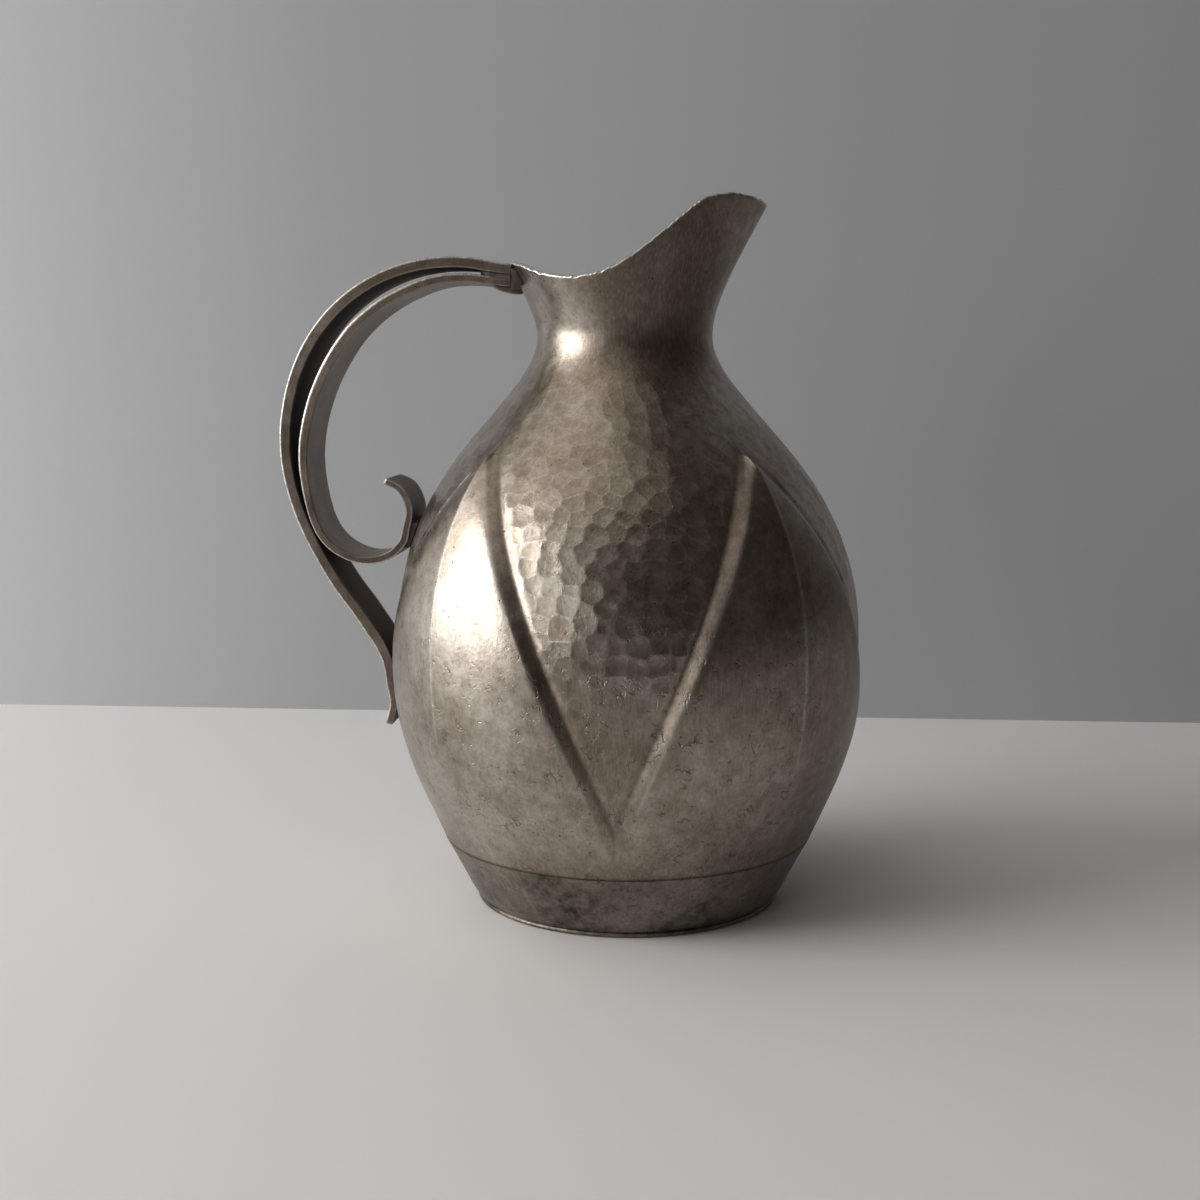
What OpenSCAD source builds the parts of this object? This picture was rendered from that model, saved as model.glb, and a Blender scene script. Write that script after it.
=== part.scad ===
// Hammered pewter jug: a raised sheet body with four pressed petals, a foot band,
// a base plate and a handle of two straps, joined by runs of solder.
// Millimetres. The jug stands on z = 0, the spout points to +X and the handle to -X.

/* [Body] */
// Diameter of the belly at its widest, over the hammered fields
belly_d = 139.6; // [128:0.1:152]
// Height of the widest place above the table
belly_z = 80; // [74:1:88]
// Outer diameter where the body meets the foot band
seam_d = 112.8; // [104:0.1:120]
// Height of that seam above the table
seam_z = 20; // [15:0.5:26]
// Thickness of the raised sheet
wall = 1.6; // [1.2:0.1:2.2]

/* [Neck and spout] */
// Outer diameter of the neck at its narrowest
neck_d = 52.4; // [46:0.1:60]
// Height of the narrowest place
neck_z = 170; // [164:1:176]
// How far the neck's middle lies behind the body's, towards the handle
neck_shift = 1.1; // [0:0.1:3]
// Height of the lowest place of the rim, at the sides behind the middle
rim_low_z = 185.8; // [182:0.1:189]
// Height of the spout's highest place
spout_z = 209.9; // [202:0.1:220]
// Distance from the body's middle to the spout's tip
spout_reach = 40.7; // [36:0.1:46]
// Width of the rim across its sides
rim_w = 65; // [60:0.5:70]
// Distance from the body's middle to the rim at the handle
rim_back = 35.4; // [33:0.1:38]

/* [Petals] */
// Number of pressed petals
petals = 4; // [4:1:6]
// Height of the petals' points
petal_tip_z = 137; // [128:1:142]
// Height at which neighbouring petals meet
petal_foot_z = 29; // [26:1:40]
// How far the petals stand out from the hammered fields
petal_rise = 2.3; // [1:0.1:3]
// Extra height of the keel along each petal's middle
keel_rise = 1.3; // [0.5:0.1:2]
// Width of the rounded step round each petal
step_w = 4.6; // [3.5:0.1:6]

/* [Foot] */
// Outer diameter of the foot band at the base plate
foot_d = 94; // [88:0.5:100]
// Thickness of the foot band
foot_wall = 1.8; // [1.4:0.1:2.4]
// Thickness of the base plate
base_t = 1.6; // [1.2:0.1:2.4]
// How far the base plate's edge stands out past the foot band
base_lip = 0.5; // [0.3:0.1:1]

/* [Handle] */
// Width of both straps
strap_w = 23.4; // [18:0.2:28]
// Thickness of the outer strap
outer_t = 3.2; // [2.6:0.1:3.8]
// Thickness of the inner strap
inner_t = 2.3; // [1.8:0.1:2.6]
// Gap between the two straps where it is widest
strap_gap = 5.3; // [3:0.1:7]
// How far the handle stands out past the belly
handle_out = 33.8; // [28:0.1:42]
// Height of the handle's top
handle_top_z = 192.8; // [190:0.1:198]
// Height at which the scroll rests against the body
scroll_z = 111; // [106:1:116]
// Radius of the scroll's turn
scroll_r = 12.6; // [10:0.1:14]
// Height at which the outer strap's tail rests against the body
tail_z = 65; // [62:0.5:70]
// Length of the tail below its resting place
tail_l = 11.5; // [8:0.5:15]

/* [Hidden] */
// Depth of the solder between two faces that it joins
solder_t = 0.4;
// Gap left between a run of solder and the piece it holds
joint_gap = 0.05;
// Height of the rim's edge above the outer strap's end
strap_drop = 0.7;
// Width of the solder under a strap, as a share of the strap's
patch_share = 0.9;
// Height of the solder patch behind the scroll
scroll_patch_h = 8;
// Height of the solder patch behind the tail
tail_patch_h = 8;
// Length along the straps of the solder between their upper ends
stack_l = 13;
// Depth of the solder left between the straps' upper ends
stack_t = 0.7;
// Depth to which solder hangs below the inner strap at the rim
bead_h = 1.4;
// Height over which the solder ring covers each side of the foot seam
ring_h = 3;
// Thickness of the solder rings inside the foot
ring_t = 1.2;
// Length used to measure a slope
probe = 0.5;

// Share of the shoulder's turn that is even; the rest is left to the neck
shoulder_share = 0.63;
// Share of a petal's width that its edge gives up evenly with height, and the power of the rest
edge_share = 0.8;
edge_power = 6;
// Least share of a sector that the mesh leaves on each side of a petal's edge
edge_room_share = 0.2;
// Share of the petals' height over which they fade in above the seam
fade_share = 0.36;
// Roundness of the flare at the spout and at the handle
flare_spout_share = 0.37;
flare_back_share = 0.25;
// Half angle of the pouring lip, as a share of a right angle
lip_share = 0.36;
// Rim height every 15 degrees from the spout to the handle, as a share of its rise
rim_shares = [0.9, 0.95, 0.975, 0.895, 0.65, 0.38, 0.14, 0.02, 0.005, 0.065, 0.16, 0.205, 0.22];
// Outer strap above the scroll: reach and height, as shares of the handle's reach and top
outer_reach_shares = [0.51, 0.675, 0.815, 0.916, 0.972, 0.982];
outer_height_shares = [0.9917, 0.974, 0.9285, 0.861, 0.778, 0.6925];
// Outer strap beside the belly: height up from the tail and stand-off, as shares
outer_low_rise_shares = [0.752, 0.489, 0.289, 0.131];
outer_low_off_shares = [1.06, 0.584, 0.228, 0.03];
// Tail below its rest: distance out from the body and down, as shares of the tail's length
tail_out_shares = [-0.06, 0.08];
tail_down_shares = [0.42, 1];
// Gap between the straps at the outer one's knots, from none to the widest
inner_gap_shares = [0, 0.31, 0.71, 0.93, 1, 0.765, 0.4, 0];
// Scroll: offsets from the resting place, as shares of the scroll's radius
scroll_back_shares = [1.96, 1.47, 0.94, 0.42, 0.1, 0, -0.08, 0.13, 0.52];
scroll_up_shares = [-0.16, -0.53, -0.65, -0.52, -0.22, 0.1, 0.58, 1.05, 1.26];

// Steps of the body's rings, of the neck's rings and of each strap's curve
body_rings = 28;
neck_rings = 10;
curve_steps = 5;
// Steps across and along a patch of solder
patch_steps = 8;
// Cells between the middle of a field and the keel beside it
field_cells = 3;
edge_cells = 2;
face_cells = 3;

// Values worked out from the sizes above
half_cells = field_cells + edge_cells + face_cells;
columns = 2 * half_cells * petals;
sector = 180 / petals;
reach = belly_d / 2 + handle_out;
rim_side_r = rim_w / 2;
rim_back_z = rim_low_z + rim_shares[len(rim_shares) - 1] * (spout_z - rim_low_z);
cut_r = rim_back - neck_shift + solder_t;

$fa = 4;
$fs = 1;

function mix(a, b, share) = a + (b - a) * share;
function clamp(v) = min(1, max(0, v));
function ease(v) = let (c = clamp(v)) c * c * (3 - 2 * c);

// A smooth curve through the points, as a list of points
function tangent(p, i) =
    i == 0 ? p[1] - p[0]
    : i == len(p) - 1 ? p[i] - p[i - 1]
    : (p[i + 1] - p[i - 1]) / norm(p[i + 1] - p[i - 1])
        * (norm(p[i + 1] - p[i]) + norm(p[i] - p[i - 1])) / 2;
function span(a, b, ta, tb, s) =
    a * (2 * pow(s, 3) - 3 * pow(s, 2) + 1) + b * (3 * pow(s, 2) - 2 * pow(s, 3))
    + ta * (pow(s, 3) - 2 * pow(s, 2) + s) + tb * (pow(s, 3) - pow(s, 2));
function scaled_tangent(p, i, length) = tangent(p, i) / norm(tangent(p, i)) * length;
function curve(p) = [
    for (i = [0 : len(p) - 2])
        let (length = norm(p[i + 1] - p[i]))
            for (k = [0 : curve_steps - 1])
                span(p[i], p[i + 1], scaled_tangent(p, i, length), scaled_tangent(p, i + 1, length),
                    k / curve_steps),
    p[len(p) - 1]
];
// The same curve moved sideways by a distance
function side_of(p, i) =
    let (
        a = p[max(0, i - 1)],
        b = p[min(len(p) - 1, i + 1)],
        d = (b - a) / norm(b - a)
    ) [-d.y, d.x];
function beside(p, distance) = [for (i = [0 : len(p) - 1]) p[i] + side_of(p, i) * distance];
function backwards(p) = [for (i = [len(p) - 1 : -1 : 0]) p[i]];

// Radius of the body's outer face without its petals
function lower_radius(z) =
    belly_d / 2 - (belly_d - seam_d) / 2 * pow((belly_z - z) / (belly_z - seam_z), 2);
function shoulder_turn(u) = shoulder_share * u + (1 - shoulder_share) * pow(u, 3);
function upper_radius(z) =
    let (u = clamp((z - belly_z) / (neck_z - belly_z)))
        belly_d / 2 - (belly_d - neck_d) / 2 * (1 - cos(180 * shoulder_turn(u))) / 2;
function base_radius(z) = z < belly_z ? lower_radius(z) : upper_radius(z);
function slope(z) = (base_radius(z + probe) - base_radius(z - probe)) / (2 * probe);
function middle_x(z) = -neck_shift * ease((z - belly_z) / (neck_z - belly_z));

// Petals: half the angle of the field between two of them, and how far a place stands out
function petal_share(z) = (z - petal_foot_z) / (petal_tip_z - petal_foot_z);
function field_half(z) =
    let (s = petal_share(z))
        sector * (edge_share * s + (1 - edge_share) * pow(max(0, s), edge_power));
function petal_fade(z) = ease((z - seam_z) / ((petal_tip_z - seam_z) * fade_share));
function past_edge(v, z) = (v - field_half(z)) * base_radius(z) * PI / 180;
function keel(v, z) =
    let (half = sector - max(0, field_half(z)))
        half > 0 ? clamp(1 - (sector - v) / half) : 0;
function relief(v, z) =
    petal_fade(z) * (
        petal_rise * ease(past_edge(v, z) / step_w + 1 / 2)
        + keel_rise * keel(v, z)
    );
// Angle from the middle of the nearest field, the first of which is at the handle
function field_angle(angle) =
    let (turn = (angle - 180 + 720) % (2 * sector))
        min(turn, 2 * sector - turn);
function body_radius(angle, z) = base_radius(z) + relief(field_angle(angle), z);

// Rim and neck: the angle is taken from the spout, 0 to 180
function from_spout(angle) = let (turn = (angle + 720) % 360) min(turn, 360 - turn);
function rim_share(a) =
    let (
        step = 180 / (len(rim_shares) - 1),
        i = min(len(rim_shares) - 2, floor(a / step)),
        before = rim_shares[abs(i - 1)],
        after = rim_shares[min(i + 2, 2 * len(rim_shares) - 4 - i)],
        from = rim_shares[i],
        to = rim_shares[i + 1]
    ) span(from, to, (to - before) / 2, (after - from) / 2, a / step - i);
function rim_z(a) = rim_low_z + (spout_z - rim_low_z) * rim_share(a);
function rim_radius(a) =
    let (side = mix(rim_side_r, rim_back - neck_shift, ease((a - 90) / 90)))
        mix(side, spout_reach + neck_shift, exp(-pow(a / (90 * lip_share), 2)));
function flare(t, a) =
    let (c = mix(flare_spout_share, flare_back_share, a / 180))
        (sqrt(c * c + t * t) - c) / (sqrt(c * c + 1) - c);
function neck_radius(a, z) =
    mix(neck_d / 2, rim_radius(a), flare(max(0, (z - neck_z) / (rim_z(a) - neck_z)), a));
function neck_slope(a, z) = (neck_radius(a, z) - neck_radius(a, z - probe)) / probe;

// Columns of the body's mesh follow the petals' edges and even out above and below them
function even_place(k) = sector * k / half_cells;
function edge_half(z) = step_w / 2 / base_radius(z) * 180 / PI;
function edge_place(k, z) =
    let (
        edge = min(max(field_half(z), sector * edge_room_share), sector * (1 - edge_room_share)),
        half = min(edge_half(z), edge / 2, (sector - edge) / 2)
    )
        k <= field_cells ? (edge - half) * k / field_cells
        : k <= field_cells + edge_cells ? edge - half + 2 * half * (k - field_cells) / edge_cells
        : mix(edge + half, sector, (k - field_cells - edge_cells) / face_cells);
function follow(z) =
    ease((z - seam_z - ring_h) / (petal_foot_z - seam_z))
    * (1 - ease((z - petal_tip_z) / ((neck_z - petal_tip_z) / 2)));
function place(k, z) = mix(even_place(k), edge_place(k, z), follow(z));
function column_angle(c, z) =
    let (
        i = floor(c / (2 * half_cells)),
        k = c - i * 2 * half_cells,
        v = k <= half_cells ? place(k, z) : 2 * sector - place(2 * half_cells - k, z)
    ) 180 + i * 2 * sector + v;

// A point of the body's sheet, at a depth under its outer face
function turned(radius, angle, x, z) = [x + radius * cos(angle), radius * sin(angle), z];
function body_point(c, ring, depth) =
    let (
        z = mix(seam_z, neck_z, ring / body_rings),
        s = slope(z) * ease((z - seam_z) / (petal_foot_z - seam_z)),
        in = depth / sqrt(1 + s * s),
        angle = column_angle(c, z)
    ) turned(body_radius(angle, z) - in, angle, middle_x(z), z + in * s);
function neck_point(c, ring, depth) =
    let (
        angle = column_angle(c, neck_z),
        a = from_spout(angle),
        z = mix(neck_z, rim_z(a), ring / neck_rings),
        s = neck_slope(a, z),
        in = depth / sqrt(1 + s * s)
    ) turned(neck_radius(a, z) - in, angle, -neck_shift, z + in * s);
function sheet_ring(ring, depth) = [
    for (c = [0 : columns - 1])
        ring <= body_rings ? body_point(c, ring, depth) : neck_point(c, ring - body_rings, depth)
];

// Closed solid from rings of equal length, each joined to the next and the last to the first
module joined_rings(rings) {
    n = len(rings[0]);
    count = len(rings);
    points = [for (r = rings) each r];
    faces = [
        for (i = [0 : count - 1])
            for (k = [0 : n - 1])
                let (
                    a = i * n + k,
                    b = i * n + (k + 1) % n,
                    c = (i + 1) % count * n + (k + 1) % n,
                    d = (i + 1) % count * n + k
                )
                    each [[a, c, b], [a, d, c]]
    ];
    polyhedron(points, faces);
}

module body_shell() {
    top = body_rings + neck_rings;
    outside = [for (ring = [0 : top]) sheet_ring(ring, 0)];
    inside = [for (ring = [top : -1 : 0]) sheet_ring(ring, wall)];
    color("#8d8175") joined_rings(concat(outside, inside));
}

// Foot band: a cone that carries on the body's line down to the base plate
function foot_radius(z) = mix(foot_d / 2, seam_d / 2, (z - base_t) / (seam_z - base_t));

module foot_band() {
    top = seam_z - joint_gap;
    color("#6f655b") rotate_extrude()
        polygon([
            [foot_radius(base_t), base_t],
            [foot_radius(top), top],
            [foot_radius(top) - foot_wall, top],
            [foot_radius(base_t) - foot_wall, base_t]
        ]);
}

module base_plate() {
    color("#8d8175") cylinder(h = base_t, d = foot_d + 2 * base_lip);
}

// Straps: middle lines seen from the side, x and height
function reach_point(reach_share, height_share) = [-reach * reach_share, handle_top_z * height_share];
function off_body(z, depth) =
    let (s = slope(z)) [-base_radius(z) - depth / sqrt(1 + s * s), z - s * depth / sqrt(1 + s * s)];
outer_end = [-neck_d / 2, rim_back_z - strap_drop - outer_t / 2];
tail_rest = off_body(tail_z, outer_t / 2 + solder_t + 2 * joint_gap);
outer_low_top = handle_top_z * outer_height_shares[len(outer_height_shares) - 1];
function outer_low_point(rise_share, off_share) =
    let (z = mix(tail_z, outer_low_top, rise_share))
        [-base_radius(z) - mix(outer_t / 2 + solder_t, handle_out, off_share), z];
outer_line = curve([
    outer_end,
    for (i = [0 : len(outer_reach_shares) - 1])
        reach_point(outer_reach_shares[i], outer_height_shares[i]),
    for (i = [0 : len(outer_low_rise_shares) - 1])
        outer_low_point(outer_low_rise_shares[i], outer_low_off_shares[i]),
    tail_rest,
    for (i = [0 : len(tail_down_shares) - 1])
        tail_rest - [tail_out_shares[i], tail_down_shares[i]] * tail_l
]);

// What is cut from the straps' upper ends so that they fit round the neck
module neck_cut() {
    translate([-neck_shift, 0, 0]) cylinder(h = 2 * handle_top_z, r = cut_r);
}

module strap(line, half) {
    difference() {
        rotate([90, 0, 0]) translate([0, 0, -strap_w / 2]) linear_extrude(strap_w)
            polygon(concat(beside(line, half), backwards(beside(line, -half))));
        neck_cut();
    }
}

module outer_strap() {
    color("#7d7268") strap(outer_line, outer_t / 2);
}

// The inner strap follows the outer one at a changing gap, then leaves it for the scroll
scroll_rest = off_body(scroll_z, inner_t / 2 + solder_t + 2 * joint_gap);
function inner_knot(knot, gap_share) =
    let (i = knot * curve_steps)
        outer_line[i] + side_of(outer_line, i) * (outer_t / 2 + mix(stack_t, strap_gap, gap_share) + inner_t / 2);
inner_line = curve([
    for (i = [0 : len(inner_gap_shares) - 1]) inner_knot(i, inner_gap_shares[i]),
    for (i = [0 : len(scroll_back_shares) - 1])
        scroll_rest + [-scroll_back_shares[i], scroll_up_shares[i]] * scroll_r
]);

module inner_strap() {
    color("#857a6f") strap(inner_line, inner_t / 2);
}

// Closed solid between two grids of points of the same size
module joined_sheets(near, far) {
    rows = len(near);
    n = len(near[0]);
    start = rows * n;
    points = concat([for (r = near) each r], [for (r = far) each r]);
    edge = concat(
        [for (k = [0 : n - 2]) k],
        [for (i = [0 : rows - 2]) i * n + n - 1],
        [for (k = [n - 1 : -1 : 1]) (rows - 1) * n + k],
        [for (i = [rows - 1 : -1 : 1]) i * n]
    );
    cells = [for (i = [0 : rows - 2]) for (k = [0 : n - 2]) i * n + k];
    faces = concat(
        [for (a = cells) each [[a, a + n + 1, a + 1], [a, a + n, a + n + 1]]],
        [for (c = cells) let (a = start + c) each [[a, a + 1, a + n + 1], [a, a + n + 1, a + n]]],
        [for (e = [0 : len(edge) - 1])
            let (a = edge[e], b = edge[(e + 1) % len(edge)])
                each [[a, b, start + a], [b, start + b, start + a]]]
    );
    polyhedron(points, faces);
}

// Solder: each run fills the room between the two faces that it joins
function body_face_x(y, z) =
    let (r = body_radius(180 - asin(y / base_radius(z)), z))
        middle_x(z) - sqrt(r * r - y * y);
function neck_face_x(y, z) =
    let (r = neck_radius(180 - abs(asin(y / rim_side_r)), z))
        -neck_shift - sqrt(r * r - y * y);
function cut_face_x(y) = -neck_shift - sqrt(cut_r * cut_r - y * y);
function across(i) = mix(-strap_w, strap_w, i / patch_steps) / 2 * patch_share;
// Heights and x of a strap's edge where it rests against the body
function resting_edge(edge, rest, room) = [for (p = edge) if (abs(p.x - rest.x) < room) [p.y, p.x]];

// A patch between the body and a strap's face, whose x at each height a table gives
module body_patch(z_low, z_high, table) {
    near = [for (j = [0 : patch_steps])
        let (z = mix(z_low, z_high, j / patch_steps))
            [for (i = [0 : patch_steps]) [body_face_x(across(i), z) - 2 * joint_gap, across(i), z]]];
    far = [for (j = [0 : patch_steps])
        let (z = mix(z_low, z_high, j / patch_steps))
            [for (i = [0 : patch_steps]) [lookup(z, table) + 2 * joint_gap, across(i), z]]];
    joined_sheets(near, far);
}

module rim_solder() {
    bottom = inner_line[0].y - inner_t / 2 - bead_h;
    top = outer_end.y + outer_t / 4;
    near = [for (j = [0 : patch_steps])
        let (z = mix(bottom, top, j / patch_steps))
            [for (i = [0 : patch_steps]) [neck_face_x(across(i), z) - 2 * joint_gap, across(i), z]]];
    far = [for (j = [0 : patch_steps])
        let (z = mix(bottom, top, j / patch_steps))
            [for (i = [0 : patch_steps]) [cut_face_x(across(i)) + joint_gap, across(i), z]]];
    color("#5d544b") joined_sheets(near, far);
}

// Distance along a line from its start to its point i
function along(p, i) = i == 0 ? 0 : along(p, i - 1) + norm(p[i] - p[i - 1]);

module strap_solder() {
    limit = rim_back - neck_d / 2 + stack_l;
    above = beside(outer_line, outer_t / 2 + joint_gap);
    below = beside(inner_line, -inner_t / 2 - joint_gap);
    upper = [for (i = [0 : len(above) - 1]) if (along(above, i) < limit) above[i]];
    lower = [for (i = [0 : len(below) - 1]) if (along(below, i) < limit) below[i]];
    color("#5d544b") difference() {
        rotate([90, 0, 0]) translate([0, 0, -strap_w / 2]) linear_extrude(strap_w)
            polygon(concat(upper, backwards(lower)));
        neck_cut();
    }
}

module scroll_solder() {
    table = resting_edge(beside(inner_line, -inner_t / 2), scroll_rest, scroll_r / 2);
    color("#5d544b")
        body_patch(scroll_rest.y - scroll_patch_h / 2, scroll_rest.y + scroll_patch_h / 2, table);
}

module tail_solder() {
    table = resting_edge(beside(outer_line, outer_t / 2), tail_rest, 2 * outer_t);
    color("#5d544b") body_patch(tail_z - tail_patch_h / 2, tail_z + tail_patch_h / 2, table);
}

// Rings of solder inside the foot, over the seam and in the corner of the base plate
function band_inside(z) = foot_radius(z) - foot_wall - joint_gap;

module foot_solder() {
    low = seam_z - ring_h;
    high = seam_z + ring_h;
    top_r = base_radius(high) - wall * sqrt(1 + pow(slope(high), 2)) - solder_t;
    seam_r = min(band_inside(seam_z), base_radius(seam_z) - wall - 3 * joint_gap);
    color("#5d544b") rotate_extrude()
        polygon([
            [band_inside(low), low],
            [seam_r, seam_z],
            [top_r, high],
            [seam_r - ring_t, seam_z]
        ]);
}

module base_solder() {
    low = base_t + joint_gap;
    high = base_t + ring_h;
    color("#5d544b") rotate_extrude()
        polygon([[band_inside(low) - ring_h, low], [band_inside(low), low], [band_inside(high), high]]);
}

body_shell();
foot_band();
base_plate();
outer_strap();
inner_strap();
rim_solder();
strap_solder();
scroll_solder();
tail_solder();
foot_solder();
base_solder();
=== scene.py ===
import math

import bpy
import numpy as np
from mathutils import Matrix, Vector


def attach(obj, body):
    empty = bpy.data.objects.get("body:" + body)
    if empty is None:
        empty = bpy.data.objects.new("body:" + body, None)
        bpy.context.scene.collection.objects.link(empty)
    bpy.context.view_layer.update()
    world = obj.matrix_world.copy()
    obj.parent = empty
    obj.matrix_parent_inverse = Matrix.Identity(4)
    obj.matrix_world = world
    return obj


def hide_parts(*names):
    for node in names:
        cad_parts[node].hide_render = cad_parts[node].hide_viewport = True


# A hammered pewter jug: a raised body, a foot band, a base plate and two straps, all soldered.
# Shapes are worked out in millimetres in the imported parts' frame, and meshes are made in metres.

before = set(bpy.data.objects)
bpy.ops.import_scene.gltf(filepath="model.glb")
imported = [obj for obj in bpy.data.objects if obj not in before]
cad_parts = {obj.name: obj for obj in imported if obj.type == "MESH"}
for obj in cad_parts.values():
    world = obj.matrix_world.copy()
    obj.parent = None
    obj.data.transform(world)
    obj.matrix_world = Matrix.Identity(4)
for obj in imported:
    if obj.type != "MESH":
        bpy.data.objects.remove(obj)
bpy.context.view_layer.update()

MM = 0.001

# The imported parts' own sizes
BELLY_D = 139.6
BELLY_Z = 80.0
SEAM_D = 112.8
SEAM_Z = 20.0
WALL = 1.6
NECK_D = 52.4
NECK_Z = 170.0
NECK_SHIFT = 1.1
RIM_LOW_Z = 185.8
SPOUT_Z = 209.9
SPOUT_REACH = 40.7
RIM_W = 65.0
RIM_BACK = 35.4
PETALS = 4
PETAL_TIP_Z = 137.0
PETAL_FOOT_Z = 29.0
PETAL_RISE = 2.3
KEEL_RISE = 1.3
FOOT_D = 94.0
FOOT_WALL = 1.8
BASE_T = 1.6
BASE_LIP = 0.5
STRAP_W = 23.4
OUTER_T = 3.2
INNER_T = 2.3
STRAP_GAP = 5.3
HANDLE_OUT = 33.8
HANDLE_TOP_Z = 192.8
SCROLL_Z = 111.0
SCROLL_R = 12.6
TAIL_Z = 65.0
TAIL_L = 11.5
SOLDER_T = 0.4
JOINT_GAP = 0.05
STRAP_DROP = 0.7
STACK_T = 0.7
STACK_SEEN_L = 6.0
STACK_DEEP_L = 8.0
SMEAR = 0.3

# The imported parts' own shares
SHOULDER_SHARE = 0.63
EDGE_SHARE = 0.8
EDGE_POWER = 6
FADE_SHARE = 0.36
FLARE_SPOUT_SHARE = 0.37
FLARE_BACK_SHARE = 0.25
LIP_SHARE = 0.36
RIM_SHARES = np.array([0.9, 0.95, 0.975, 0.895, 0.65, 0.38, 0.14, 0.02, 0.005, 0.065, 0.16, 0.205, 0.22])
OUTER_REACH_SHARES = [0.51, 0.675, 0.815, 0.916, 0.972, 0.982]
OUTER_HEIGHT_SHARES = [0.9917, 0.974, 0.9285, 0.861, 0.778, 0.6925]
OUTER_LOW_RISE_SHARES = [0.752, 0.489, 0.289, 0.131]
OUTER_LOW_OFF_SHARES = [1.06, 0.584, 0.228, 0.03]
TAIL_OUT_SHARES = [-0.06, 0.08]
TAIL_DOWN_SHARES = [0.42, 1.0]
INNER_GAP_SHARES = [0, 0.31, 0.71, 0.93, 1, 0.765, 0.4, 0]
SCROLL_BACK_SHARES = [1.96, 1.47, 0.94, 0.42, 0.1, 0, -0.08, 0.13, 0.52]
SCROLL_UP_SHARES = [-0.16, -0.53, -0.65, -0.52, -0.22, 0.1, 0.58, 1.05, 1.26]

SECTOR = 180 / PETALS
REACH = BELLY_D / 2 + HANDLE_OUT
RIM_BACK_Z = RIM_LOW_Z + RIM_SHARES[-1] * (SPOUT_Z - RIM_LOW_Z)
CUT_R = RIM_BACK - NECK_SHIFT + SOLDER_T

# Mesh steps
COLUMNS = 1056
BODY_ROWS = 440
NECK_ROWS = 56
INSIDE_ROWS = 60
PROFILE_STEPS = 2000
BLOW_TABLE_STEPS = 500
CURVE_STEPS = 5
STRAP_STEPS = 24

# The foot: the band's hollow, its lower edge turned in by hammering, and what share of the lip is left
FOOT_HOLLOW = 0.2
FOOT_TURN_IN = 0.9
FOOT_TURN_H = 4.5
LIP_LEFT = 0.6

# The straps: rounded ends, upper ends that settle on the rim, corners rubbed bright and with a painted
# highlight, and ends with painted shade
END_ROUND = 0.8
TAPER_L = 26
SETTLE = 0.9
SETTLE_L = 13
CUT_L = 9
SIDE_GAP = 0.06
CORNER_GROWTH = 0.7
CORNER_POINTS = 5
HAND_CORNER_POINTS = 3
BULGE = 0.9
HAND_EDGE_WEAR = 0.3
EDGE_WEAR_W = 0.3
NECK_END_SHADE = 0.2
END_SHADE = 0.4

# The runs of solder: steps across the straps, half a run's share of their width, and gaps to the faces
RUN_STEPS = 41
BODY_RUN_STEPS = 19
BODY_RUN_HALF = 0.44
BODY_RUN_H = 7.5
NEAR_GAP = 0.08
FAR_GAP = 0.06
END_GAP = 0.04
STACK_GAP = 0.03
RIM_BEAD = ((1.3, -0.1), (0.9, 0.6), (0, 1), (-1.6, 0.95), (-3.2, 0.5))
SOLDER_GRIME = 0.25

# Edges sharper than this many degrees stay sharp
SHARP_ANGLE = 50

# Noise tables are cubes of this many cells, which repeat
LATTICE = 32


def ease(value):
    part = np.clip(value, 0, 1)
    return part * part * (3 - 2 * part)


def mix(a, b, share):
    return a + (b - a) * share


def ramp(value, start, length):
    """Climbs from 0 to 1 over a length that begins at start."""
    return ease((value - start) / length)


def curve(start, end, way, way_at_end, s):
    """The cubic from start to end with the given ways at its ends, at a share s of the whole."""
    return (
        start * (2 * s**3 - 3 * s**2 + 1)
        + end * (3 * s**2 - 2 * s**3)
        + way * (s**3 - 2 * s**2 + s)
        + way_at_end * (s**3 - s**2)
    )


def bump(value, width):
    """A smooth hill of height 1 where value is zero."""
    return np.exp(-((value / width) ** 2))


def smooth_noise(places, size, seed):
    """Noise from -1 to 1 at places, an array that ends in x, y, z, with cells of the given size."""
    table = np.random.default_rng(seed).uniform(-1, 1, (LATTICE,) * 3)
    scaled = places / size
    low = np.floor(scaled).astype(int)
    part = ease(scaled - low)
    total = np.zeros(places.shape[:-1])
    for corner in np.ndindex(2, 2, 2):
        cell = (low + corner) % LATTICE
        weight = np.prod(np.where(corner, part, 1 - part), axis=-1)
        total += weight * table[cell[..., 0], cell[..., 1], cell[..., 2]]
    return total


# The body's form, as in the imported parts


def base_radius(z):
    low = BELLY_D / 2 - (BELLY_D - SEAM_D) / 2 * ((BELLY_Z - z) / (BELLY_Z - SEAM_Z)) ** 2
    rise = np.clip((z - BELLY_Z) / (NECK_Z - BELLY_Z), 0, 1)
    turn = SHOULDER_SHARE * rise + (1 - SHOULDER_SHARE) * rise**3
    high = BELLY_D / 2 - (BELLY_D - NECK_D) / 4 * (1 - np.cos(np.pi * turn))
    return np.where(z < BELLY_Z, low, high)


def slope(z, probe=0.5):
    return (base_radius(z + probe) - base_radius(z - probe)) / (2 * probe)


def middle_x(z):
    return -NECK_SHIFT * ramp(z, BELLY_Z, NECK_Z - BELLY_Z)


def field_half(z):
    """Half the angle of the field between two petals, in degrees."""
    share = (z - PETAL_FOOT_Z) / (PETAL_TIP_Z - PETAL_FOOT_Z)
    return SECTOR * (EDGE_SHARE * share + (1 - EDGE_SHARE) * np.maximum(0, share) ** EDGE_POWER)


def field_angle(angle):
    """Degrees from the middle of the nearest field, the first of which is at the handle."""
    turn = (angle + 540) % (2 * SECTOR)
    return np.minimum(turn, 2 * SECTOR - turn)


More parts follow.
